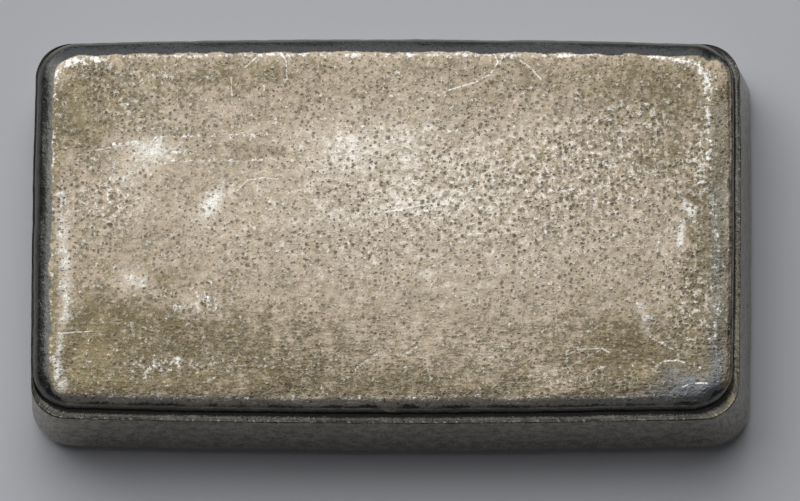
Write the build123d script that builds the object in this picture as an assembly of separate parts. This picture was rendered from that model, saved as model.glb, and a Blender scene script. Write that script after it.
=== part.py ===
from build123d import *
import math
import os

# A poured bar of silver, one solid, in millimetres.
# It lies on its pour side, the side that was open to the air in the mould, and shows the side that
# lay on the mould's floor. X runs along the bar, Y across it, and Z is up from what it rests on.

# The bar where its walls begin, just under the witness line that the mould's joint left
bar_length = 82.0
bar_width = 46.0
bar_height = 13.0
corner_radius = 4.8
side_bow = 0.65
end_bow = 0.2
wall_draft_angle = 5.0

# The cap above the witness line, which the mould's smaller half shaped
cap_height = 2.4
ledge_width = 0.25
cap_edge_radius = 2.0
shoulder_width = 3.2
shoulder_depth = 0.25

# The pour side: its rounded rim, the flat land it rests on, and the hollow left as the metal shrank
rim_radius = 1.8
rim_land = 2.6
hollow_depth = 0.55
hollow_slope_width = 6.5
hollow_corner_radius = 2.6

# How the two soft slopes run: the share of the width covered, and the share of the height gained there
shoulder_shares = ((0, 0), (0.35, 0.55), (0.7, 0.9), (1, 1))
hollow_shares = ((0, 0), (0.3, 0.3), (0.65, 0.8), (1, 1))

# How far a block runs on inside its neighbour, or a cut runs on outside the metal
overrun = 1.0

witness_level = bar_height - cap_height


def outline(inset, radius):
    """The bar's outline seen from above, drawn in by inset: sides that bow outwards, and round corners."""
    half_length = bar_length / 2 - inset
    half_width = bar_width / 2 - inset
    corner_x = half_length - end_bow
    corner_y = half_width - side_bow
    with BuildSketch() as sketch:
        with BuildLine():
            ThreePointArc((corner_x, -corner_y), (half_length, 0), (corner_x, corner_y))
            ThreePointArc((corner_x, corner_y), (0, half_width), (-corner_x, corner_y))
            ThreePointArc((-corner_x, corner_y), (-half_length, 0), (-corner_x, -corner_y))
            ThreePointArc((-corner_x, -corner_y), (0, -half_width), (corner_x, -corner_y))
        make_face()
        fillet(sketch.vertices(), radius)
    return sketch.face()


def edges_at(shape, level):
    """The edges of shape that lie level at that height."""
    return shape.edges().filter_by_position(Axis.Z, level, level)


def body():
    """The deep part below the witness line. Its walls lean outwards going down, as the mould's did."""
    top = Pos(0, 0, witness_level) * outline(0, corner_radius)
    walls = extrude(top, witness_level, dir=(0, 0, -1), taper=-wall_draft_angle)
    return fillet(edges_at(walls, 0), rim_radius)


def cap():
    """The shallow part above the witness line: a rounded edge and a soft shoulder round the flat face."""
    shoulder_level = bar_height - shoulder_depth
    foot = Pos(0, 0, witness_level - overrun) * outline(ledge_width, corner_radius - ledge_width)
    block = extrude(foot, shoulder_level - witness_level + overrun)
    rings = []
    for run, rise in shoulder_shares:
        inset = ledge_width + run * shoulder_width
        rings.append(Pos(0, 0, shoulder_level + rise * shoulder_depth) * outline(inset, corner_radius - inset))
    return fillet(edges_at(block + loft(rings), shoulder_level), cap_edge_radius)


def hollow():
    """What the shrinking metal left out of the pour side: a shallow dish that slopes down from the land."""
    wall_spread = witness_level * math.tan(math.radians(wall_draft_angle))
    mouth_inset = rim_radius + rim_land - wall_spread
    rings = []
    for run, rise in hollow_shares:
        inset = mouth_inset + run * hollow_slope_width
        rings.append(Pos(0, 0, rise * hollow_depth) * outline(inset, hollow_corner_radius))
    mouth = extrude(outline(mouth_inset, hollow_corner_radius), overrun, dir=(0, 0, -1))
    return mouth + loft(rings)


bar = body() + cap() - hollow()

os.makedirs("parts", exist_ok=True)
export_step(bar, "parts/silver_bar.step")
print("volume", round(bar.volume, 1), "solids", len(bar.solids()), "box", bar.bounding_box())
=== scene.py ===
import bpy
import math
import numpy as np
from mathutils import Matrix, Vector


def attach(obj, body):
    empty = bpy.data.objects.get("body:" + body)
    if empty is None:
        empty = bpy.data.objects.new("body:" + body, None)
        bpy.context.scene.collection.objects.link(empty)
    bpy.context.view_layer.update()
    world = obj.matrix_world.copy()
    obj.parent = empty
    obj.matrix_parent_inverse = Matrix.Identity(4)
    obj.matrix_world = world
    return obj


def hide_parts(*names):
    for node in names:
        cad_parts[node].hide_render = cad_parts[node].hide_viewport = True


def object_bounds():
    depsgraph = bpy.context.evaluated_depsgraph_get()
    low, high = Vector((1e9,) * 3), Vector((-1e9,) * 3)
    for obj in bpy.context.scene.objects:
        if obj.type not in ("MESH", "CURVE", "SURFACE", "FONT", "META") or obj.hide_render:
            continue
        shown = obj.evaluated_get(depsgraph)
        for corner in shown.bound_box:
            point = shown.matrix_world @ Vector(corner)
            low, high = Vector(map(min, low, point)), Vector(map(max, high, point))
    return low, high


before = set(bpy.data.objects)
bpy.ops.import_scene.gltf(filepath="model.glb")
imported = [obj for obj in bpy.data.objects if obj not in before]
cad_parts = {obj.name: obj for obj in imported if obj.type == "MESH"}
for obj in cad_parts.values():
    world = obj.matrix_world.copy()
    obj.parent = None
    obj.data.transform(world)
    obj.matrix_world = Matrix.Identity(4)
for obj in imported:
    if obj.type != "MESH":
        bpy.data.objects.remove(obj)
cad_low, cad_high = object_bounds()
mm = 0.001

# The camera
# It stands in front of the bar and far above it, and looks down with a long lens, so that the front wall
# and a little of the right wall show beside the face.
camera_tilt = 0.262
camera_swing = 0.03
camera_roll = 0.0091
camera_distance = 1500 * mm
camera_lens = 582
aim_right = 1.04 * mm
aim_up = -1.0 * mm

back = Vector((math.sin(camera_swing), -math.sin(camera_tilt), 0))
back.z = math.sqrt(1 - back.x**2 - back.y**2)
level_right = Vector((0, 1, 0)).cross(back).normalized()
right = Matrix.Rotation(camera_roll, 3, back) @ level_right
up = back.cross(right)
aim = (cad_low + cad_high) / 2 + right * aim_right + up * aim_up
camera = bpy.data.objects.new("camera", bpy.data.cameras.new("camera"))
camera.data.lens = camera_lens
camera.data.clip_start = 10 * mm
camera_turn = Matrix((right, up, back)).transposed().to_4x4()
camera.matrix_world = Matrix.Translation(aim + back * camera_distance) @ camera_turn
bpy.context.scene.collection.objects.link(camera)
bpy.context.scene.camera = camera

# The bar
# One piece of silver, poured into a two-part mould and left as it came out. Its upper edge is rounded,
# a witness line runs round it where the mould's halves met, and its walls lean outwards to a rounded rim.
# The mould's halves sat a little askew, so the walls lean more at the right and in front than elsewhere.
# All lengths in this section are in millimetres, and X, Y and Z are the bar's own.
bar_length = 82.0
bar_width = 46.0
side_bow = 0.65
end_bow = 0.2
cap_height = 2.4
ledge_width = 0.47
ledge_wider_right = 0.1
ledge_wider_front = 0.2
edge_radius = 2.0
edge_sharper_right = 1.4
edge_sharper_front = 0.65
cap_corner_radius = 5.2
wall_corner_radius = 4.2
wall_shift = (-0.45, 0.24)
cap_shift = (-0.67, 0.60)
shoulder_width = 3.2
shoulder_depth = 0.25
shoulder_power = 1.6
wall_lean = math.radians(5)
rim_radius = 1.8
rim_land = 2.6
hollow_slope = 6.5
hollow_depth = 0.55

height = cad_high.z / mm
ledge_level = height - cap_height
half_length = bar_length / 2
half_width = bar_width / 2


def bow_radius(half_chord, bow):
    """The radius of an arc that stands proud of its chord by bow."""
    return (half_chord**2 + bow**2) / (2 * bow)


end_radius = bow_radius(half_width - side_bow, end_bow)
side_radius = bow_radius(half_length - end_bow, side_bow)
end_centre = half_length - end_radius
side_centre = half_width - side_radius


def corner_arc(radius, passes=6):
    """The corner arc's centre, and the directions in which the end's and the side's arcs meet it. The centre
    is as far inside both arcs as its own radius: each pass puts it on one of them, then on the other."""
    x = half_length - radius
    y = half_width - radius
    for _ in range(passes):
        x = end_centre + np.sqrt((end_radius - radius) ** 2 - y**2)
        y = side_centre + np.sqrt((side_radius - radius) ** 2 - x**2)
    return x, y, np.arctan2(y, x - end_centre), np.arctan2(y - side_centre, x)


def outline(turn, inset, radius):
    """The point of the outline, drawn in by inset, that faces the direction turn: centre + (radius - inset)
    along that direction, on the end's arc, the corner's or the side's. It is worked out in one quarter and
    mirrored."""
    corner_x, corner_y, end_turn, side_turn = corner_arc(radius)
    across = np.abs(np.cos(turn))
    along = np.abs(np.sin(turn))
    folded = np.arctan2(along, across)
    arcs = [folded < end_turn, folded > side_turn]
    reach = np.select(arcs, [end_radius, side_radius], radius) - inset
    x = np.select(arcs, [end_centre, 0.0], corner_x) + reach * across
    y = np.select(arcs, [0.0, side_centre], corner_y) + reach * along
    return x * np.sign(np.cos(turn)), y * np.sign(np.sin(turn))


def depth_inside(x, y, radius):
    """How far a point lies inside the outline, and the direction of the outline's nearest point, from the
    distances to the end's, side's and corner's arcs."""
    corner_x, corner_y, _, _ = corner_arc(radius)
    across = np.abs(x)
    along = np.abs(y)
    to_end = end_radius - np.hypot(across - end_centre, along)
    to_side = side_radius - np.hypot(across, along - side_centre)
    to_corner = radius - np.hypot(across - corner_x, along - corner_y)
    in_corner = (across > corner_x) & (along > corner_y)
    nearest = [in_corner, to_end < to_side]
    depth = np.select(nearest, [to_corner, to_end], to_side)
    out_x = np.select(nearest, [across - corner_x, across - end_centre], across) * np.sign(x)
    out_y = np.select(nearest, [along - corner_y, along], along - side_centre) * np.sign(y)
    return depth, np.arctan2(out_y, out_x)


def smooth(start, end, value):
    """Rises from 0 at start to 1 at end, level at both: 3t^2 - 2t^3."""
    t = np.clip((value - start) / (end - start), 0, 1)
    return t * t * (3 - 2 * t)


def ripple(points, length, seed, waves=24):
    """Random soft relief of unit size: the sum of plane waves about that long, each with its own direction
    and phase."""
    chance = np.random.default_rng(seed)
    heading = chance.normal(size=(waves, 3))
    heading /= np.linalg.norm(heading, axis=1)[:, None]
    pitch = 2 * np.pi / (length * chance.uniform(0.7, 1.6, waves))
    phase = chance.uniform(0, 2 * np.pi, waves)
    return np.cos(points @ (heading * pitch[:, None]).T + phase).sum(axis=1) * math.sqrt(2 / waves)


def toward_right(turn):
    """1 where the outline faces right, 0 elsewhere, with a soft change round the corners."""
    return smooth(0.6, 0.98, np.cos(turn))


def toward_front(turn):
    """1 where the outline faces the front, 0 elsewhere, with a soft change round the corners."""
    return smooth(0.45, 0.97, -np.sin(turn))


def toward_back(turn):
    """1 where the outline faces the back, 0 elsewhere, with a soft change round the corners."""
    return smooth(0.3, 0.95, np.sin(turn))


def ledge_at(turn):
    """The ledge's width, which is wider at the right and in front."""
    return ledge_width + ledge_wider_right * toward_right(turn) + ledge_wider_front * toward_front(turn)


def edge_radius_at(turn):
    """The upper edge's radius, which is smaller at the right and in front."""
    return edge_radius - edge_sharper_right * toward_right(turn) - edge_sharper_front * toward_front(turn)


def shoulder_fall(inset):
    """How far the face has fallen at that depth inside the outline, from the flat to the rounded edge: a
    power of the share of the shoulder's width gone by."""
    run = np.maximum((shoulder_width + ledge_width - inset) / shoulder_width, 0)
    return shoulder_depth * run**shoulder_power


# The face's grid meets the rounded edge along the outline's inner line. The underside's grid is four times
# coarser.
columns = 312
rows = 172
under_columns = columns // 4
under_rows = rows // 4
face_inset = ledge_width + edge_radius


def even_turns(inset, radius, long_steps, short_steps):
    """The directions of points spaced evenly round the outline, drawn in by inset, from one corner's middle
    to the next. Length along an arc grows with direction by the arc's radius, so direction is read off it."""
    knots = np.array([0, *corner_arc(radius)[2:], np.pi / 2])
    spans = np.diff(knots) * (np.array([end_radius, radius, side_radius]) - inset)
    half_corner = spans[1] / 2
    long_half = half_corner + spans[2]
    short_half = half_corner + spans[0]
    quarter = np.concatenate([[0], np.cumsum(spans)])
    from_corner = np.linspace(0, long_half * 2, long_steps, endpoint=False) - long_half
    turn = np.interp(quarter[3] - np.abs(from_corner), quarter, knots)
    front = np.where(from_corner < 0, -np.pi + turn, -turn)
    from_corner = np.linspace(0, short_half * 2, short_steps, endpoint=False) - short_half
    right_end = np.sign(from_corner) * np.interp(np.abs(from_corner), quarter, knots)
    return np.concatenate([front, right_end, front + np.pi, right_end + np.pi])


turns = even_turns(face_inset, cap_corner_radius, columns, rows)


def patch(edge_x, edge_y, long_steps, short_steps):
    """A grid inside a closed line: each point blends the two lines across it, plus the two along it, less the
    corners, so that the grid's edge is the line itself."""
    edge = np.stack([edge_x, edge_y], axis=1)
    corners = [0, long_steps, long_steps + short_steps, 2 * long_steps + short_steps]
    low_side = edge[corners[0] : corners[1] + 1]
    right_side = edge[corners[1] : corners[2] + 1]
    top_side = edge[corners[2] : corners[3] + 1][::-1]
    left_side = np.concatenate([edge[corners[3] :], edge[:1]])[::-1]
    u = np.linspace(0, 1, long_steps + 1)[:, None, None]
    v = np.linspace(0, 1, short_steps + 1)[None, :, None]
    across = (1 - v) * low_side[:, None] + v * top_side[:, None]
    along = (1 - u) * left_side[None] + u * right_side[None]
    low_corners = (1 - u) * low_side[0] + u * low_side[-1]
    top_corners = (1 - u) * top_side[0] + u * top_side[-1]
    return across + along - (1 - v) * low_corners - v * top_corners


def edge_order(long_steps, short_steps):
    """The places of a grid's outer points, in the order of the closed line round it."""
    place = np.arange((long_steps + 1) * (short_steps + 1)).reshape(long_steps + 1, short_steps + 1)
    return np.concatenate([place[:-1, 0], place[-1, :-1], place[:0:-1, -1], place[0, :0:-1]])


def grid_faces(long_steps, short_steps):
    """Four-sided faces between a grid's points, facing up."""
    i, j = np.meshgrid(np.arange(long_steps), np.arange(short_steps), indexing="ij")
    a = (i * (short_steps + 1) + j).ravel()
    return np.stack([a, a + short_steps + 1, a + short_steps + 2, a + 1], axis=1)


# The profile goes from the face's edge down to the land that the bar rests on. Each of its rows holds a depth
# inside the outline, a level, and how much of the surface's outward direction is sideways and up.
edge_rows = 15
wall_rows = 24
rim_rows = 10
arris_rise = 0.06
wall_top_drop = 0.5
arris_level = ledge_level + arris_rise
edge_swing = np.linspace(0, np.pi / 2, edge_rows)

# The ledge's rows hold their depth as a share of the ledge's width
ledge_rows = np.array([
    (1.06, arris_level + 0.05, 1.0, 0.0),
    (1.04, arris_level - 0.02, 0.8, 0.6),
    (0.7, arris_level - 0.05, 0.3, 0.95),
    (0.35, arris_level - 0.04, 0.3, 0.95),
    (0.08, arris_level - 0.045, 0.5, 0.87),
    (0.0, arris_level - 0.09, 1.0, 0.0),
    (0.0, arris_level - 0.15, 1.0, 0.0),
])


def upper_profile(turn):
    """The rounded edge and the ledge in each direction. The edge's arc falls by radius - sqrt(radius^2 -
    short^2), where short is how far a point lies outside the arc's start."""
    ledge = ledge_at(turn)
    radius = edge_radius_at(turn)
    inset = ledge + (face_inset - ledge) * (1 - np.sin(edge_swing))[:, None]
    short = np.clip(radius - inset + ledge, 0, radius)
    level = height - shoulder_fall(inset) - radius + np.sqrt(radius**2 - short**2)
    rounded = np.stack([inset, level, short / radius, np.sqrt(1 - (short / radius) ** 2)], axis=1)
    stepped = np.repeat(ledge_rows[:, :, None], len(turn), axis=2)
    stepped[:, 0] *= ledge
    return np.concatenate([rounded, stepped])


fine_profile = upper_profile(turns)

# The rim's arc touches both the leaning wall and the land
rim_centre = rim_radius / math.tan((math.pi / 2 - wall_lean) / 2) - ledge_level * math.tan(wall_lean)
rim_swing = np.linspace(-wall_lean, np.pi / 2, rim_rows)
rim_in = rim_centre - rim_radius * np.cos(rim_swing)
rim_level = rim_radius * (1 - np.sin(rim_swing))
wall_levels = np.linspace(arris_level - wall_top_drop, rim_level[0], wall_rows, endpoint=False)
wall_in = -(ledge_level - wall_levels) * math.tan(wall_lean)
land_end = rim_radius + rim_land - ledge_level * math.tan(wall_lean)
lower_rows = np.array([
    *zip(wall_in, wall_levels, np.ones(wall_rows), np.zeros(wall_rows)),
    *zip(rim_in, rim_level, np.cos(rim_swing), -np.sin(rim_swing)),
    ((rim_centre + land_end) / 2, 0.0, 0.0, -1.0),
])
coarse_turns = turns[::2]
coarse_profile = np.repeat(lower_rows[:, :, None], len(coarse_turns), axis=2)


def rings(profile, directions):
    """The profile carried round the outline: one ring of points for each of its rows, and their outward
    directions. The outline moves back and left: not at the foot, by the wall's shift at the witness line, and
    by the cap's shift above it. On the ledge it goes from one to the other."""
    inset, level, sideways, upward = profile.transpose(1, 0, 2)
    cap_share = np.clip(inset / ledge_at(directions), 0, 1) * (level > ledge_level)
    radius = wall_corner_radius + cap_share * (cap_corner_radius - wall_corner_radius)
    x, y = outline(directions[None], inset, radius)
    rise = np.clip((level - rim_radius) / (ledge_level - rim_radius), 0, 1)
    shift_x, shift_y = (rise * (low + cap_share * (high - low)) for low, high in zip(wall_shift, cap_shift))
    points = np.stack([x + shift_x, y + shift_y, level], axis=-1)
    facing = np.stack([sideways * np.cos(directions), sideways * np.sin(directions), upward], axis=-1)
    return points, facing


def ring_faces(count, size):
    """Four-sided faces between rings that lie one below the other, facing outwards."""
    k, p = np.meshgrid(np.arange(count - 1), np.arange(size), indexing="ij")
    following = (p + 1) % size
    upper = k * size
    lower = upper + size
    corners = [upper + p, lower + p, lower + following, upper + following]
    return np.stack(corners, axis=-1).reshape(-1, 4)


def halving_faces(fine, coarse):
    """Triangles between a ring and one below it with half as many points."""
    first = fine[0::2]
    middle = fine[1::2]
    last = np.roll(first, -1)
    following = np.roll(coarse, -1)
    return np.concatenate([
        np.stack([first, coarse, middle], axis=1),
        np.stack([middle, coarse, following], axis=1),
        np.stack([middle, following, last], axis=1),
    ])


face_edge = outline(turns, face_inset, cap_corner_radius)
face_points = patch(*face_edge, columns, rows).reshape(-1, 2)
face_depth, _ = depth_inside(*face_points.T, cap_corner_radius)
face_points = np.column_stack([face_points + cap_shift, height - shoulder_fall(face_depth)])
face_facing = np.tile([0.0, 0.0, 1.0], (len(face_points), 1))

fine_points, fine_facing = (v.reshape(-1, 3) for v in rings(fine_profile[1:], turns))
coarse_points, coarse_facing = (v.reshape(-1, 3) for v in rings(coarse_profile, coarse_turns))
under_edge = outline(turns[::4], land_end, wall_corner_radius)
under_points = patch(*under_edge, under_columns, under_rows).reshape(-1, 2)
under_depth, _ = depth_inside(*under_points.T, wall_corner_radius)
hollow_rise = hollow_depth * smooth(land_end, land_end + hollow_slope, under_depth)
under_points = np.column_stack([under_points, hollow_rise])
under_facing = np.tile([0.0, 0.0, -1.0], (len(under_points), 1))

starts = np.cumsum([0, len(face_points), len(fine_points), len(coarse_points)])
perimeter = len(turns)
face_ring = edge_order(columns, rows)
first_fine = starts[1] + np.arange(perimeter)
last_fine = starts[2] - perimeter + np.arange(perimeter)
first_coarse = starts[2] + np.arange(perimeter // 2)
last_coarse = starts[3] - perimeter // 2 + np.arange(perimeter // 2)
under_ring = starts[3] + edge_order(under_columns, under_rows)
quads = np.concatenate([
    grid_faces(columns, rows),
    np.stack([face_ring, first_fine, np.roll(first_fine, -1), np.roll(face_ring, -1)], axis=1),
    starts[1] + ring_faces(len(fine_profile) - 1, perimeter),
    starts[2] + ring_faces(len(coarse_profile), perimeter // 2),
    starts[3] + grid_faces(under_columns, under_rows)[:, ::-1],
])
triangles = np.concatenate([
    halving_faces(last_fine, first_coarse),
    halving_faces(last_coarse, under_ring),
])
points = np.concatenate([face_points, fine_points, coarse_points, under_points])
facing = np.concatenate([face_facing, fine_facing, coarse_facing, under_facing])


def lengths_down(profile):
    """How long the profile is from its first row to each of the rows below it, in every direction."""
    steps = np.diff(profile[:, :2], axis=0)
    return np.cumsum(np.hypot(steps[:, 0], steps[:, 1]), axis=0)


# The surface laid out flat in one sheet: the face, with the edges and walls folded up round it, and the
# underside well away from them. Grain and pits are drawn on this sheet, so that nothing stretches them.
underside_away = 3 * bar_length
whole_lengths = lengths_down(np.concatenate([fine_profile[:, :, ::2], coarse_profile]))
sheet = points[:, :2].copy()
for first, run, directions in (
    (starts[1], lengths_down(fine_profile), turns),
    (starts[2], whole_lengths[len(fine_profile) - 1 :], coarse_turns),
):
    flat = np.stack(outline(directions[None], face_inset - run, cap_corner_radius), axis=-1).reshape(-1, 2)
    sheet[first : first + len(flat)] = flat + cap_shift
sheet[starts[3] :, 0] += underside_away

# Where the marks lie. They are placed by the pixel of the 800 x 501 picture that they show at, and their
# sizes are in pixels too. One pixel covers pixel_size of the face.
picture_middle = (400, 250.5)
pixels_across = 800
sensor_width = 36
pixel_size = 0.1157


def on_face(x, y):
    """The point of the face's plane seen at that pixel: eye + ray (height - eye.z) / ray.z."""
    slope = sensor_width / camera_lens / pixels_across
    x = (np.asarray(x) - picture_middle[0]) * slope
    y = (picture_middle[1] - np.asarray(y)) * slope
    ray = x[..., None] * np.array(right) + y[..., None] * np.array(up) - np.array(back)
    eye = np.array(camera.matrix_world.translation) / mm
    return (eye + ray * ((height - eye[2]) / ray[..., 2:]))[..., :2]


def patches(table):
    """The sum of soft oval patches at every point: amount e^(-(u^2 + v^2)) for each row of the table, where u
    and v are the distances along and across the oval, in its half-sizes. A row holds its pixel, half-sizes,
    turn in degrees and amount."""
    total = np.zeros(len(points))
    for x, y, along, across, turn, amount in table:
        centre = on_face(x, y)
        turn = math.radians(turn)
        offset = (points[:, :2] - centre) / pixel_size
        u = (offset[:, 0] * math.cos(turn) + offset[:, 1] * math.sin(turn)) / along
        v = (offset[:, 1] * math.cos(turn) - offset[:, 0] * math.sin(turn)) / across
        total += amount * np.exp(-(u**2) - v**2)
    return total


def strokes(table):
    """The strongest of soft strokes at every point: amount e^(-(d / half-breadth)^2), with d the distance to
    the line through the row's pixels. A row holds its half-breadth, its amount and those pixels."""
    strongest = np.zeros(len(points))
    for half_breadth, amount, *stops in table:
        stops = on_face(*np.array(stops, float).T)
        for first, last in zip(stops[:-1], stops[1:]):
            along = last - first
            share = np.clip((points[:, :2] - first) @ along / (along @ along), 0, 1)
            distance = np.linalg.norm(points[:, :2] - first - share[:, None] * along, axis=1)
            spread = distance / (half_breadth * pixel_size)
            strongest = np.maximum(strongest, amount * np.exp(-(spread**2)))
    return strongest


# Where the silver is rubbed bright: along the edges that stand proud, and in streaks on the face. Along the
# edges the bright lines are also painted highlight, where the shoulders tilt toward the light.
rubbed_and_highlight_strokes = (
    (2.6, 0.5, (90, 56), (120, 55), (200, 55.5), (300, 54), (400, 54.5), (500, 54), (560, 55)),
    (2.8, 0.6, (560, 55), (600, 53), (625, 51.5), (660, 57), (690, 62), (703, 69)),
    (6.0, 0.65, (53, 82), (57, 71), (65, 64), (78, 59), (100, 57)),
    (3.5, 0.45, (54, 80), (53, 120), (52.5, 165)),
    (3.5, 0.25, (52, 165), (51, 230), (50, 300), (51, 360)),
    (5.0, 0.65, (680, 60), (696, 65), (705, 74), (708, 90)),
    (4.0, 0.5, (708, 90), (708, 130), (707, 160)),
    (5.0, 0.4, (707, 160), (703, 190)),
    (5.0, 0.3, (713, 190), (716, 290), (713, 350)),
    (2.0, 0.3, (60, 392), (100, 396), (200, 398), (300, 397), (400, 396), (560, 397), (660, 396)),
    (1.6, 0.55, (112, 144), (125, 143), (155, 137.5), (190, 136), (235, 135), (265, 134)),
    (1.6, 0.5, (122, 152.5), (170, 152.5), (205, 154)),
    (1.6, 0.45, (165, 160), (235, 161), (292, 157.5)),
    (6.0, 0.4, (142, 374), (155, 366), (178, 360), (186, 364)),
    (5.0, 0.35, (195, 290), (212, 302), (220, 318)),
)

# Patches with the film wiped off, smooth and whitish
clean_strokes = (
    (9.0, 0.6, (60, 195), (62, 232), (66, 262)),
    (8.0, 0.6, (66, 262), (66, 300), (62, 330)),
    (8.0, 0.6, (60, 335), (56, 360), (62, 388)),
    (5.0, 0.9, (684, 200), (692, 212)),
    (5.0, 0.85, (682, 226), (680, 244)),
    (6.0, 0.6, (642, 306), (644, 318), (647, 334)),
)
clean_patches = (
    (150, 148, 30, 13, -5, 0.8),
    (128, 176, 20, 16, 20, 0.4),
    (209, 205, 9, 22, -35, 0.9),
    (338, 168, 34, 14, 10, 0.35),
    (385, 145, 50, 14, 6, 0.35),
    (415, 207, 60, 10, 8, 0.35),
    (330, 215, 30, 8, 0, 0.3),
    (480, 200, 60, 30, 0, 0.2),
    (132, 280, 18, 13, -30, 0.7),
    (195, 305, 22, 8, 30, 0.5),
    (90, 55, 20, 8, 0, 0.3),
    (460, 290, 60, 16, 0, 0.2),
)

# The dull greenish strip along the right edge
dull_strokes = (
    (9.0, 0.5, (716, 120), (719, 190)),
    (9.5, 1.0, (718, 190), (718, 260), (718, 330), (715, 385)),
)

# Yellow and brown stains
stain_patches = (
    (78, 92, 9, 12, 0, 0.7),
    (84, 118, 10, 8, 0, 0.6),
    (115, 110, 9, 14, 0, 0.8),
    (97, 132, 10, 8, 0, 0.6),
    (152, 85, 8, 7, 0, 0.7),
    (156, 66, 7, 6, 0, 0.5),
    (215, 66, 20, 5, 0, 0.5),
    (265, 68, 16, 6, 0, 0.6),
    (308, 58, 7, 4, 0, 0.6),
    (228, 128, 14, 4, 0, 0.5),
    (191, 156, 15, 4, 0, 1.1),
    (60, 160, 5, 14, 0, 0.6),
    (106, 266, 9, 9, 30, 0.8),
    (86, 298, 9, 9, 0, 0.6),
    (145, 264, 7, 5, 0, 0.7),
    (168, 278, 14, 9, 20, 0.7),
    (84, 366, 12, 22, 0, 0.9),
    (104, 352, 20, 10, 20, 0.6),
    (122, 380, 30, 8, 0, 0.6),
    (100, 320, 16, 12, 0, 0.5),
    (182, 340, 8, 5, 0, 0.6),
    (205, 372, 14, 7, 0, 0.6),
    (260, 385, 30, 7, 0, 0.4),
    (380, 388, 50, 6, 0, 0.3),
    (600, 86, 16, 10, 0, 0.5),
    (668, 72, 12, 8, 20, 0.4),
    (712, 84, 4, 8, 0, 0.7),
    (717, 150, 4, 40, 0, 0.5),
    (700, 245, 14, 5, 10, 0.8),
    (690, 268, 12, 7, 0, 0.7),
    (650, 155, 14, 7, 0, 0.8),
    (627, 228, 5, 6, 0, 0.6),
    (640, 372, 16, 14, 0, 0.8),
    (600, 390, 20, 7, 0, 0.7),
    (690, 330, 14, 20, 0, 0.5),
    (712, 290, 6, 30, 0, 0.5),
    (545, 155, 5, 10, 0, 1.3),
    (338, 198, 9, 8, 0, 0.4),
    (196, 267, 5, 4, 0, 1.0),
    (90, 115, 50, 50, 0, 0.3),
    (110, 350, 70, 45, 0, 0.35),
    (260, 75, 90, 16, 0, 0.15),
    (640, 100, 60, 40, 0, 0.15),
    (52, 280, 6, 60, 0, 0.4),
    (733, 396, 6, 22, 20, 1.0),
    (738, 310, 3, 70, 0, 0.6),
    (720, 410, 20, 5, 20, 0.6),
)

# Where the skin is rougher than elsewhere, or calmer
rough_patches = (
    (108, 200, 34, 28, 0, 0.6),
    (115, 105, 50, 40, 0, 0.2),
    (90, 68, 26, 10, 0, 0.5),
    (165, 74, 22, 9, 0, 0.4),
    (120, 100, 30, 20, 0, 0.2),
    (205, 120, 50, 14, 0, 0.2),
    (60, 210, 8, 30, 0, 0.3),
    (600, 150, 60, 40, 0, 0.3),
    (645, 115, 30, 16, 0, 0.2),
    (700, 160, 14, 40, 0, 0.4),
    (205, 305, 26, 12, 20, 0.5),
    (158, 366, 32, 8, 0, 0.6),
    (225, 362, 40, 10, 0, 0.3),
    (345, 250, 60, 24, 0, 0.2),
    (550, 190, 160, 80, 0, 0.4),
    (400, 190, 90, 60, 0, 0.2),
    (690, 310, 30, 60, 0, 0.4),
    (600, 380, 60, 14, 0, 0.3),
    (162, 215, 12, 26, 0, -0.5),
    (190, 170, 20, 8, 0, -0.4),
    (128, 250, 12, 12, 0, -0.5),
    (115, 295, 20, 8, 0, -0.4),
    (230, 150, 60, 7, 3, -0.4),
    (400, 300, 120, 30, 0, -0.3),
    (620, 335, 30, 20, 0, -0.3),
    (250, 330, 80, 12, 0, -0.2),
)

# Where the dark tarnish of the sides reaches further on to the face
tarnish_patches = (
    (725, 57, 9, 9, 0, 1.0),
    (730, 100, 4, 24, 0, 0.5),
    (729, 183, 3, 7, 0, 1.0),
    (721, 397, 8, 6, -40, 0.8),
    (720, 327, 2.5, 2.5, 0, 0.7),
    (728, 332, 4, 2.5, 0, 0.8),
    (183, 50, 3, 2, 0, 0.8),
)

# The bluish tarnish in the right front corner
blue_patches = (
    (700, 390, 18, 10, -25, 1.0),
    (716, 380, 6, 18, -15, 0.8),
    (688, 386, 28, 14, -10, 0.6),
    (668, 394, 30, 6, 0, 0.7),
    (610, 400, 40, 3, 0, 0.5),
    (717, 355, 5, 12, 0, 0.5),
    (671, 372, 10, 5, 20, 0.4),
)
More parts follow.
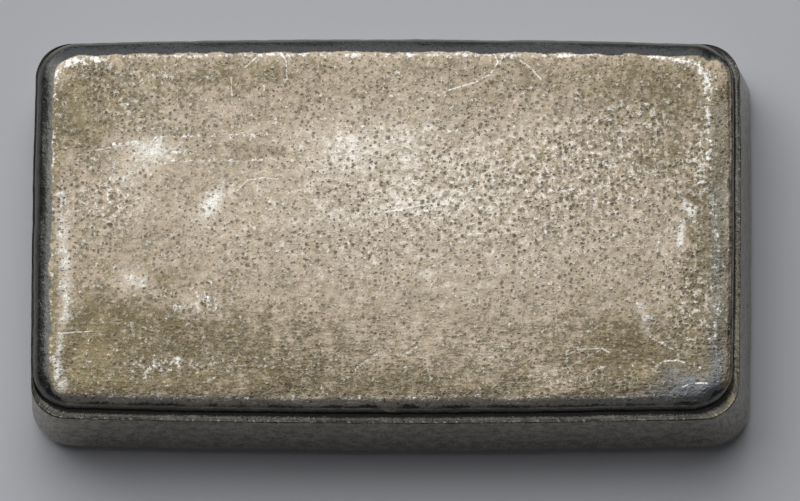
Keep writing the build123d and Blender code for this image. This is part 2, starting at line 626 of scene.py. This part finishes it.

# The brown film on the face: thick in the corners and along the front, thin in the middle, which makes the
# face darker in the corners and along the front and lighter in the middle
film_patches = (
    (80, 110, 45, 60, 0, 0.42),
    (110, 345, 80, 50, 0, 0.18),
    (717, 250, 10, 140, 0, 0.25),
    (275, 152, 34, 6, -3, 0.3),
    (52, 260, 7, 160, 0, 0.3),
    (400, 225, 190, 95, 0, -0.13),
    (150, 80, 90, 24, 0, 0.2),
    (260, 75, 60, 16, 0, 0.15),
    (600, 80, 120, 28, 0, 0.2),
    (670, 120, 50, 65, 0, 0.25),
    (650, 155, 14, 9, 0, 0.6),
    (690, 198, 14, 5, 0, 0.6),
    (100, 340, 60, 60, 0, 0.35),
    (90, 370, 28, 22, 0, 0.3),
    (190, 345, 90, 50, 0, 0.25),
    (290, 345, 90, 45, 0, 0.15),
    (400, 385, 380, 28, 0, 0.25),
    (700, 280, 22, 110, 0, 0.4),
    (190, 230, 90, 50, 0, -0.08),
    (640, 360, 60, 45, 0, 0.35),
    (600, 330, 90, 35, 0, 0.15),
    (170, 278, 20, 12, -30, 0.2),
    (350, 140, 65, 20, 8, -0.3),
    (395, 155, 120, 45, 0, -0.2),
    (335, 168, 40, 26, 0, -0.12),
    (150, 155, 38, 17, 0, -0.4),
    (130, 185, 22, 22, 0, -0.18),
    (215, 203, 10, 20, -30, -0.45),
    (415, 205, 65, 13, 8, -0.2),
    (335, 220, 28, 9, 0, -0.12),
    (280, 215, 65, 32, 0, -0.12),
    (480, 190, 100, 65, 0, -0.15),
    (380, 270, 120, 32, 0, -0.1),
    (130, 280, 24, 16, 0, -0.2),
    (195, 305, 22, 13, -20, -0.2),
    (550, 275, 75, 27, 0, -0.12),
    (640, 305, 15, 11, 0, -0.25),
    (685, 205, 11, 11, 0, -0.3),
    (675, 240, 12, 20, 20, -0.25),
    (64, 250, 8, 100, 0, -0.2),
)

# How far across the ledge each point lies: from 0 at the arris to 1 in the crease, 2 above it, -1 below it
across_ledge = np.concatenate([
    np.full(starts[1], 2.0),
    np.repeat(2.0, (len(fine_profile) - 1 - len(ledge_rows)) * perimeter),
    np.repeat(ledge_rows[:, 0], perimeter),
    np.full(len(points) - starts[2], -1.0),
])

# Wear on the whole bar. Toward the front the film is drawn out in streaks along the bar.
worn_band_depth = 2.6
worn_band_width = 1.6
film_everywhere = 0.67
roughness_everywhere = 0.4
streaks_start = -6.2
streaks_full = -13.4

inside, turn_here = depth_inside(points[:, 0] - cap_shift[0], points[:, 1] - cap_shift[1], cap_corner_radius)
upward = facing[:, 2]
on_face_side = smooth(0.7, 0.95, upward)
on_wall = smooth(0.6, 0.95, np.hypot(facing[:, 0], facing[:, 1]))
near_edge = np.exp(-(((inside - worn_band_depth) / worn_band_width) ** 2)) * (upward > 0.2)
film = np.clip(film_everywhere + patches(film_patches), 0, 1.1)
rough = np.clip(roughness_everywhere + patches(rough_patches), 0, 1)
drawn = smooth(streaks_start, streaks_full, points[:, 1])
right_share = toward_right(turn_here)
front_share = toward_front(turn_here)

# The dark patina starts where the edge begins to round, and lower down at the right and in front, by shares
# of the edge's radius. Its limit winds a little, and it covers the whole underside.
lower_right_share = 1.1
lower_front_share = 0.7
rounded_share = 1 - lower_right_share * right_share - lower_front_share * front_share
patina_depth = ledge_at(turn_here) + edge_radius_at(turn_here) * rounded_share + 0.02
patina_softness = 0.3 + 0.25 * front_share
patina_winding = 0.10 * ripple(points, 3.0, 11)
patina = 1 - smooth(-1, 1, (inside - patina_depth + patina_winding) / patina_softness)
patina = np.where(upward < -0.5, 1, np.clip(patina + patches(tarnish_patches), 0, 1))
rubbed_and_highlight = strokes(rubbed_and_highlight_strokes)
clean = np.clip(strokes(clean_strokes) + patches(clean_patches), 0, 1)
dull = strokes(dull_strokes)
stain = np.clip(patches(stain_patches), 0, 1)
blued = np.clip(patches(blue_patches), 0, 1)

# The parts of the sides, each 1 on its own part and 0 elsewhere: the wall, and its foot, where light is
# painted, the ledge, painted dark as shade, with its sharp outer line and its inner half, where light is
# painted, the crease above it, where shade is painted, with painted light at the cap's foot, a painted pale
# sheen on the front shoulder, and the edge that faces the back, painted dark above as shade and paler below
# as a painted reflection of the floor
level = points[:, 2]
fallen = height - level
leaning = np.maximum(right_share, front_share)
wall = smooth(arris_level - 0.08, arris_level - 0.16, level)
# The wall's foot, where light is painted over the shade of the rim
foot = smooth(3.5, 0.5, level)
lower_side = leaning * (fallen > shoulder_depth + 0.4)
ledge = smooth(1.3, 1.0, across_ledge)
arris = smooth(0.3, 0.0, np.abs(across_ledge)) * leaning
# Painted shade in the crease under the cap
crease = smooth(0.4, 1.0, fallen) * (across_ledge > 1) * lower_side
ledge_front = ledge * front_share
ledge_right = ledge * right_share * (1 - front_share)
# Painted light on the ledge's inner half, which lies in shade
ledge_inner_painted_light = (ledge_front + ledge_right) * smooth(0.3, 0.9, across_ledge)
# Painted light at the foot of the cap's side, which lies in the crease's shade
cap_foot_painted_light = crease * smooth(ledge_level + 0.5, ledge_level + 0.1, level)
# Painted sheen: light painted in a band on the rounded shoulder in front
painted_sheen_share = smooth(2.2, 1.8, inside) * smooth(0.8, 1.2, inside) * front_share
back_share = toward_back(turn_here)
# Painted shade on the upper part of the edge that faces the back
shaded_back = np.maximum(back_share, 0.25) * (1 - lower_side) * smooth(0.65, 0.85, upward)
# A painted reflection of the floor on the outer part of the edge
rim_painted_reflection = np.maximum(back_share, 0.15) * (1 - lower_side) * smooth(0.82, 0.6, upward)


def blend(share, first, second):
    """Goes from the first colour to the second as share goes from 0 to 1, at every point."""
    return first + share[:, None] * (np.array(second) - first)


# The dark sides' colours where the tarnish is thick and where it is thin, worked out part by part: each row
# goes over those before it. Besides the tarnish's own colours, the rows hold painted shade on the edge that
# faces the back, on the ledge and in the crease, a painted reflection of the floor on the edge's outer part,
# and painted light on the ledge's inner half, the cap's foot and the wall's foot. The shader mixes the two.
tarnish_and_painted_light_thick = np.tile((0.08, 0.081, 0.077), (len(points), 1))
tarnish_and_painted_light_thin = np.tile((0.135, 0.134, 0.122), (len(points), 1))
side_colours = (
    # Painted shade on the edge that faces the back
    (shaded_back * 0.9, (0.032, 0.033, 0.035), (0.032, 0.033, 0.035)),
    # A painted reflection of the pale floor on the edge's outer part
    (rim_painted_reflection * 0.9, (0.29, 0.285, 0.25), (0.29, 0.285, 0.25)),
    (lower_side, (0.24, 0.235, 0.214), (0.42, 0.41, 0.37)),
    # Painted shade in the crease
    (crease, (0.05, 0.048, 0.043), (0.075, 0.073, 0.065)),
    # Painted light at the cap's foot
    (cap_foot_painted_light, (0.40, 0.39, 0.343), (0.44, 0.43, 0.377)),
    # Painted shade: the ledge under the cap is near black, a little lighter in front and at the right
    (ledge, (0.027, 0.026, 0.023), (0.027, 0.026, 0.023)),
    (ledge_front, (0.045, 0.043, 0.039), (0.07, 0.068, 0.06)),
    (ledge_right, (0.052, 0.05, 0.045), (0.075, 0.073, 0.064)),
    # Painted light on the ledge's inner half
    (ledge_inner_painted_light, (0.19, 0.185, 0.163), (0.23, 0.225, 0.20)),
    (ledge * stain, (0.10, 0.092, 0.06), (0.16, 0.147, 0.097)),
    (wall, (0.18, 0.171, 0.146), (0.385, 0.366, 0.308)),
    # Painted light at the wall's foot, where the rim turns under into shade
    (wall * foot * 0.8, (0.46, 0.44, 0.375), (0.46, 0.44, 0.375)),
)
for share, thick, thin in side_colours:
    tarnish_and_painted_light_thick = blend(share, tarnish_and_painted_light_thick, thick)
    tarnish_and_painted_light_thin = blend(share, tarnish_and_painted_light_thin, thin)

# Casting relief. Each row holds a depth, a wavelength, a seed and where it lies. All of the face stays at or
# below the bar's height.
relief_waves = (
    (0.02, 14, 1, on_face_side),
    (0.008, 4.5, 2, on_face_side),
    (0.004, 1.4, 3, on_face_side),
    (0.04, 7, 4, near_edge),
    (0.02, 6, 5, on_wall),
    (0.012, 1.8, 6, on_wall),
)
relief = sum(depth * ripple(points, length, seed) * share for depth, length, seed, share in relief_waves)
relief -= np.max(relief * on_face_side) * on_face_side
points = points + facing * relief[:, None]


def mesh_from(name, points, quads, triangles, layers):
    """A mesh of those points, in millimetres, with four-sided faces first, triangles after them, and named
    layers of one number or three a point for the shader."""
    mesh = bpy.data.meshes.new(name)
    mesh.vertices.add(len(points))
    mesh.vertices.foreach_set("co", (points * mm).astype(np.float32).ravel())
    loops = np.concatenate([quads.ravel(), triangles.ravel()]).astype(np.int32)
    sizes = np.concatenate([np.full(len(quads), 4), np.full(len(triangles), 3)]).astype(np.int32)
    mesh.loops.add(len(loops))
    mesh.loops.foreach_set("vertex_index", loops)
    mesh.polygons.add(len(sizes))
    mesh.polygons.foreach_set("loop_start", (np.cumsum(sizes) - sizes).astype(np.int32))
    mesh.update(calc_edges=True)
    mesh.validate()
    mesh.polygons.foreach_set("use_smooth", np.ones(len(sizes), bool))
    for layer, values in layers.items():
        kind, field = ("FLOAT", "value") if values.ndim == 1 else ("FLOAT_VECTOR", "vector")
        mesh.attributes.new(layer, kind, "POINT").data.foreach_set(field, values.astype(np.float32).ravel())
    return mesh


bar_mesh = mesh_from("poured_bar", points, quads, triangles, {
    "film": film,
    "patina": patina,
    "rubbed_and_highlight": rubbed_and_highlight,
    "clean": clean,
    "dull": dull,
    "stain": stain,
    "blued": blued,
    "rough": rough,
    "arris": arris,
    "painted_sheen_share": painted_sheen_share,
    "drawn": drawn,
    "tarnish_and_painted_light_thick": tarnish_and_painted_light_thick,
    "tarnish_and_painted_light_thin": tarnish_and_painted_light_thin,
    "sheet": np.column_stack([sheet, np.zeros(len(sheet))]),
})
bar = bpy.data.objects.new("poured_bar", bar_mesh)
bpy.context.scene.collection.objects.link(bar)
print("bar", len(points), "points", 2 * len(quads) + len(triangles), "triangles")


class Value:
    """A number, colour or vector that a shader works out at each point. Sums and products of numbers add the
    nodes for them."""

    def __init__(self, shader, socket):
        self.shader = shader
        self.socket = socket

    def apply(self, operation, *others):
        """The Math node's result for that operation on this value and the others."""
        return self.shader.node("ShaderNodeMath", {"operation": operation}, dict(enumerate([self, *others])))

    def __add__(self, other):
        return self.apply("ADD", other)

    __radd__ = __add__

    def __mul__(self, other):
        return self.apply("MULTIPLY", other)

    def __sub__(self, other):
        return self.apply("SUBTRACT", other)

    def __rsub__(self, other):
        return self * -1 + other

    def larger(self, other):
        """This value or the other, whichever is larger."""
        return self.apply("MAXIMUM", other)

    def ramp(self, start, end):
        """Rises smoothly from 0 where the value is start to 1 where it is end."""
        settings = {"interpolation_type": "SMOOTHSTEP"}
        inputs = {"Value": self, "From Min": start, "From Max": end}
        return self.shader.node("ShaderNodeMapRange", settings, inputs)


class Shader:
    """A material's nodes, each added by one call."""

    def __init__(self, name):
        self.material = bpy.data.materials.new(name)
        self.material.use_nodes = True
        self.nodes = self.material.node_tree.nodes
        self.surface = self.nodes["Principled BSDF"]

    def feed(self, socket, value):
        """Sets a socket to a number or colour, or links a value to it."""
        if isinstance(value, Value):
            self.material.node_tree.links.new(value.socket, socket)
        else:
            socket.default_value = value

    def node(self, kind, settings, inputs, output=0):
        """Adds a node: its type, its settings, what goes into its sockets, and which output is wanted."""
        node = self.nodes.new(kind)
        for name, value in settings.items():
            setattr(node, name, value)
        for name, value in inputs.items():
            self.feed(node.inputs[name], value)
        return Value(self, node.outputs[output])

    def layer(self, name, output="Fac"):
        """One of the mesh's layers: a number, a Color or a Vector."""
        return self.node("ShaderNodeAttribute", {"attribute_name": name}, {}, output)

    def noise(self, place, scale, detail=2.0, roughness=0.5, output=0):
        """Soft noise between 0 and 1 on the flat sheet, with that many waves a millimetre."""
        settings = {"noise_dimensions": "2D"}
        inputs = {"Vector": place, "Scale": scale, "Detail": detail, "Roughness": roughness}
        return self.node("ShaderNodeTexNoise", settings, inputs, output)

    def pits(self, place, scale, smallest, widest, size):
        """Round hollows, one in each cell of a net of that scale, of widths picked at random: 1 at the middle
        of each and 0 from its rim out. All grow with size. The second value is 1 on the rim."""
        settings = {"voronoi_dimensions": "2D", "feature": "F1"}
        distance = self.node("ShaderNodeTexVoronoi", settings, {"Vector": place, "Scale": scale}, "Distance")
        colour = Value(self, distance.socket.node.outputs["Color"])
        chance = self.node("ShaderNodeSeparateColor", {}, {"Color": colour}, "Red")
        radius = (chance * chance * (widest - smallest) + smallest) * size * scale
        hollow = distance.ramp(radius * 1.15, radius * 0.05)
        return hollow, distance.ramp(radius * 1.8, radius) - hollow

    def vectors(self, operation, inputs, output=0):
        """The Vector Math node's result for that operation."""
        return self.node("ShaderNodeVectorMath", {"operation": operation}, inputs, output)

    def mix(self, share, first, second):
        """The colour that goes from first to second as share goes from 0 to 1. Sockets 0, 6 and 7 are the
        share and the two colours, and output 2 is their mix."""
        return self.node("ShaderNodeMix", {"data_type": "RGBA"}, {0: share, 6: first, 7: second}, 2)


silver = Shader("worn_silver")
sheet_place = silver.layer("sheet", "Vector")

# Places shaken a little, so that pits and cracks aren't round or straight
shake_reach = (0.32, 0.32, 0.32)
shake = silver.noise(sheet_place, scale=3.2, detail=1.0, output="Color")
shaken = silver.vectors("MULTIPLY_ADD", {0: shake, 1: shake_reach, 2: sheet_place})
along_bar = silver.node("ShaderNodeMapping", {}, {"Vector": shaken, "Scale": (0.7, 4.0, 1.0)})

# The wear worked out above, read from the mesh
film = silver.layer("film")
patina = silver.layer("patina")
rubbed_and_highlight = silver.layer("rubbed_and_highlight")
clean = silver.layer("clean")
dull = silver.layer("dull")
stain = silver.layer("stain")
blued = silver.layer("blued")
rough = silver.layer("rough")
painted_sheen_share = silver.layer("painted_sheen_share")
drawn = silver.layer("drawn")

# The patterns that break up the edges between finishes, from coarse to fine, and drawn out along the bar
blotches = silver.noise(sheet_place, scale=0.3, detail=3.0, roughness=0.6)
mottle = silver.noise(sheet_place, scale=0.8, detail=4.0, roughness=0.65)
fine_mottle = silver.noise(shaken, scale=2.1, detail=2.0, roughness=0.6)
grain = silver.noise(sheet_place, scale=5.0, detail=1.0, roughness=0.6)
streaks = silver.noise(along_bar, scale=1.0, detail=2.0, roughness=0.6)

# Gas pits: wide ones, common ones and specks, in drifts, and more and wider ones where the skin is rough
crowd = silver.noise(sheet_place, scale=0.25, detail=2.0).ramp(0.25, 0.6) * 0.4 + 0.4 + rough * 0.4
pit_size = rough * 0.7 + 0.62
wide_pits, wide_rims = silver.pits(shaken, scale=0.75, smallest=0.0, widest=0.42, size=1.0)
common_pits, common_rims = silver.pits(shaken, scale=1.5, smallest=0.05, widest=0.33, size=pit_size)
specks, _ = silver.pits(sheet_place, scale=2.4, smallest=0.0, widest=0.16, size=pit_size)
pits = wide_pits.larger(common_pits).larger(specks * 0.15) * crowd
rims = wide_rims.larger(common_rims) * rough

# A crackled skin between the pits: thin winding lines and flecks, rubbed bright where they stand proud
winding = silver.noise(shaken, scale=1.1, detail=1.0)
crack = (winding - 0.5).apply("ABSOLUTE").ramp(0.04, 0.0) * mottle.ramp(0.42, 0.6)
flecks = (fine_mottle * 0.85 + mottle * 0.15).ramp(0.52, 0.78)
proud = (flecks * 0.75).larger(crack) * (rough * 0.85 + 0.15) + rims * 0.1

# Where the skin is roughest it is torn: brown hollows and bright ridges a few tenths of a millimetre wide
torn = silver.noise(shaken, scale=1.4, detail=2.0, roughness=0.6)
torn_here = rough.ramp(0.4, 1.0)
torn_hollows = torn.ramp(0.48, 0.34) * torn_here
torn_ridges = torn.ramp(0.54, 0.68) * torn_here


def scratch(half_breadth, amount, *stops):
    """A thin mark along the line through those pixels: amount at its middle, 0 past its half-breadth. Each
    stretch's nearest point lies a share, from 0 to 1, of the way along it."""
    stops = [Vector((x, y, 0)) for x, y in on_face(*np.array(stops, float).T)]
    strongest = 0
    for first, last in zip(stops[:-1], stops[1:]):
        along = last - first
        start = silver.vectors("SUBTRACT", {0: sheet_place, 1: first})
        share = silver.vectors("DOT_PRODUCT", {0: start, 1: along / along.length_squared}, "Value")
        share = silver.node("ShaderNodeClamp", {}, {"Value": share})
        reach = silver.vectors("SCALE", {0: along, "Scale": share})
        distance = silver.vectors("DISTANCE", {0: start, 1: reach}, "Value")
        strongest = distance.ramp(half_breadth * pixel_size, 0).larger(strongest)
    return strongest * amount


def scratches(table):
    """The strongest of the table's scratches at each point."""
    strongest = 0
    for row in table:
        strongest = scratch(*row).larger(strongest)
    return strongest


# Scratches and gouges: each row holds a half-breadth, an amount, and the pixels that the mark runs through
bright_scratches = (
    (1.2, 0.75, (494, 53), (498, 62), (490, 74), (475, 82), (448, 90)),
    (1.1, 0.7, (520, 60), (530, 67), (541, 79)),
    (1.1, 0.6, (281, 52), (286, 61), (287, 79)),
    (1.0, 0.7, (264, 85), (264, 93)),
    (0.9, 0.5, (231, 77), (232, 104)),
    (1.1, 0.6, (245, 67), (262, 52), (271, 47)),
    (1.2, 0.6, (375, 212), (398, 210), (420, 205)),
    (1.2, 0.3, (530, 375), (566, 368), (600, 350)),
    (1.0, 0.4, (468, 234), (492, 233)),
    (1.2, 0.5, (357, 367), (377, 354)),
    (1.2, 0.5, (404, 355), (419, 345)),
    (3.4, 0.8, (175, 306), (175, 308)),
    (3.0, 0.7, (132, 323), (132, 325)),
    (2.6, 0.7, (405, 226), (406, 227)),
    (1.0, 0.6, (500, 63), (506, 46)),
    (1.0, 0.5, (525, 52), (512, 46)),
    (1.0, 0.6, (58, 333), (92, 331)),
    (1.1, 0.6, (237, 190), (247, 180), (262, 177.5), (280, 178.7)),
    (1.3, 0.8, (655.6, 366), (663, 361), (677.6, 360), (684, 362)),
    (1.3, 0.8, (682, 387), (690, 383), (707, 383)),
    (1.2, 0.5, (650, 337), (673, 349)),
    (1.2, 0.5, (566, 354.5), (579, 349), (602, 348), (609, 352)),
    (1.0, 0.5, (95, 150), (128, 144), (140, 143)),
)
dark_scratches = (
    (1.1, 0.6, (450, 66), (448, 88), (440, 118)),
    (1.3, 0.7, (205, 78), (192, 89), (182, 98)),
    (1.0, 0.6, (430, 211), (443, 211)),
    (1.3, 0.7, (355, 365), (375, 352)),
    (1.3, 0.7, (402, 353), (417, 343)),
    (1.5, 0.9, (92, 399), (97, 395)),
    (2.0, 0.8, (544, 185), (533, 194)),
    (3.0, 0.7, (682, 195), (690, 198), (698, 197)),
    (2.6, 0.7, (719, 326), (720, 328)),
    (2.6, 0.7, (158, 108), (159, 109)),
    (1.0, 0.5, (684, 360), (705, 378)),
    (1.2, 0.8, (49, 187), (57, 186)),
    (1.2, 0.8, (49, 196), (57, 197)),
    (1.2, 0.8, (49, 206), (56, 207)),
    (2.4, 0.9, (181, 49.5), (184, 50)),
    (2.8, 0.8, (729.5, 178), (730, 189)),
    (2.0, 0.8, (728, 331), (729, 335)),
    (2.2, 0.8, (732, 114), (735, 120)),
    (2.6, 0.7, (341, 77), (341, 79)),
    (2.8, 0.7, (530, 178), (530, 180)),
    (2.4, 0.7, (545, 170), (545, 172)),
    (2.6, 0.6, (299, 107), (299, 114)),
    (2.4, 0.8, (402, 228), (403, 229)),
    (2.4, 0.7, (596, 217), (596, 219)),
    (2.4, 0.7, (595, 180), (595, 182)),
    (2.0, 0.9, (175, 306.5), (175, 307.5)),
    (1.6, 0.9, (132, 323.5), (132, 324.5)),
    (4.5, 0.35, (211, 294), (211, 298)),
)
bright_marks = scratches(bright_scratches)
dark_marks = scratches(dark_scratches)

# The colours of silver, bare or rubbed, under the film, stained or tarnished, and of the hollows' floors
bare = (0.69, 0.65, 0.585, 1)
wiped = (0.635, 0.62, 0.57, 1)
bright = (0.78, 0.76, 0.72, 1)
thin_film = (0.336, 0.278, 0.205, 1)
thick_film = (0.115, 0.09, 0.042, 1)
stained_green = (0.215, 0.192, 0.098, 1)
stained_brown = (0.236, 0.18, 0.098, 1)
blue_tarnish = (0.15, 0.16, 0.172, 1)
pit_floor = (0.105, 0.078, 0.048, 1)
torn_floor = (0.15, 0.12, 0.075, 1)
dull_strip = (0.15, 0.147, 0.12, 1)
# A painted sheen for the front shoulder
painted_sheen = (0.36, 0.344, 0.305, 1)
# Rubbed silver flecks on the witness line, painted pale as glints
arris_flecks = (0.40, 0.38, 0.32, 1)

# The face: film and stains first, then what is torn, rubbed, pitted or scratched, with a painted sheen and
# painted highlights
film_here = film + (mottle - 0.5) * 1.6 + (0.5 - fine_mottle) * 0.25 + (blotches - 0.5) * 0.7
film_here += (0.5 - streaks) * drawn * 0.8
worn = silver.mix(film_here.ramp(-0.35, 0.5), bare, thin_film)
worn = silver.mix(film_here.ramp(0.45, 1.2), worn, thick_film)
clean_here = (clean + (mottle - 0.5) * 1.8 + (blotches - 0.5) * 0.8).ramp(0.2, 1.1)
worn = silver.mix(clean_here, worn, wiped)
stain_here = (stain + (mottle - 0.5) * 1.3 + (0.5 - blotches) * 0.8).ramp(0.2, 0.8)
stained = silver.mix(winding.ramp(0.42, 0.58), stained_green, stained_brown)
worn = silver.mix(stain_here * 0.6, worn, stained)
# The painted sheen on the front shoulder
worn = silver.mix(painted_sheen_share * 0.75, worn, painted_sheen)
worn = silver.mix(dull * (mottle + 0.35), worn, dull_strip)
worn = silver.mix(torn_hollows * 0.9, worn, torn_floor)
worn = silver.mix(torn_ridges * 0.7, worn, bare)
worn = silver.mix(proud * (1.0 - film * 0.35), worn, bare)
worn = silver.mix(blued * (mottle + 0.5), worn, blue_tarnish)
worn = silver.mix(pits * 0.9, worn, pit_floor)
# Rubbed silver, with painted highlight along the edges
rubbed_and_highlight_here = (rubbed_and_highlight + (fine_mottle - 0.5) * 1.6 + (mottle - 0.5) * 1.6 - 0.25).ramp(0.0, 0.7)
worn = silver.mix(rubbed_and_highlight_here * 0.85, worn, bright)
worn = silver.mix(bright_marks * fine_mottle.ramp(0.3, 0.5), worn, bright)
worn = silver.mix(dark_marks * 0.9, worn, pit_floor)

# The dark sides, which take over from the face at the rounded edge
patina_here = (patina + (fine_mottle - 0.5) * 0.8 + (mottle - 0.5) * 0.6).ramp(0.3, 0.7)
uneven = (mottle * 0.5 + fine_mottle * 0.3 + grain * 0.2).ramp(0.38, 0.62)
dark = silver.mix(uneven, silver.layer("tarnish_and_painted_light_thick", "Color"), silver.layer("tarnish_and_painted_light_thin", "Color"))
# Flecks of rubbed silver on the witness line, painted pale so they show as glints: partly wear, partly
# painted highlight
dark = silver.mix(silver.layer("arris") * fine_mottle.ramp(0.56, 0.68) * 0.5, dark, arris_flecks)

surface = silver.surface
silver.feed(surface.inputs["Base Color"], silver.mix(patina_here, worn, dark))
# The film on the face isn't metal, so the face shows some of its colour from every side
silver.feed(surface.inputs["Metallic"], 0.7 + patina_here * 0.3)
silver.feed(surface.inputs["Roughness"], 0.30 + (grain - 0.5) * 0.2)

# The fine relief, in millimetres
relief_height = (
    torn * torn_here * 0.03
    + fine_mottle * 0.010
    + mottle * 0.04
    + streaks * drawn * 0.02
    - pits * 0.018
    + rims * 0.003
    + crack * 0.01
)
bumps = silver.node("ShaderNodeBump", {}, {"Strength": 1.0, "Distance": mm, "Height": relief_height})
silver.feed(surface.inputs["Normal"], bumps)

bar.data.materials.append(silver.material)
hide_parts("silver_bar")
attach(bar, "root")

# The floor
# Plain pale paper, wide enough to fill every view. Lengths are in metres here and below.
floor_size = 8.0
floor_grey = (0.56, 0.57, 0.60, 1)
floor_roughness = 0.9

bpy.ops.mesh.primitive_plane_add(size=floor_size)
floor = bpy.context.object
floor.name = "floor"
paper = bpy.data.materials.new("pale_paper")
paper.use_nodes = True
paper_shader = paper.node_tree.nodes["Principled BSDF"]
paper_shader.inputs["Base Color"].default_value = floor_grey
paper_shader.inputs["Roughness"].default_value = floor_roughness
floor.data.materials.append(paper)

# The light
# One wide soft light behind the bar and a little to its left, and a dim room all round.
key_from = Vector((-0.25, 0.60, 0.76)).normalized()
key_distance = 2.4
key_size = 3.0
key_power = 65
room_grey = (0.07, 0.07, 0.075, 1)

key = bpy.data.objects.new("key", bpy.data.lights.new("key", "AREA"))
key.data.shape = "SQUARE"
key.data.size = key_size
key.data.energy = key_power
key.location = key_from * key_distance
key.rotation_euler = key_from.to_track_quat("Z", "Y").to_euler()
bpy.context.scene.collection.objects.link(key)
room = bpy.data.worlds.new("room")
room.use_nodes = True
room.node_tree.nodes["Background"].inputs["Color"].default_value = room_grey
bpy.context.scene.world = room
bpy.context.scene.view_settings.view_transform = "Standard"
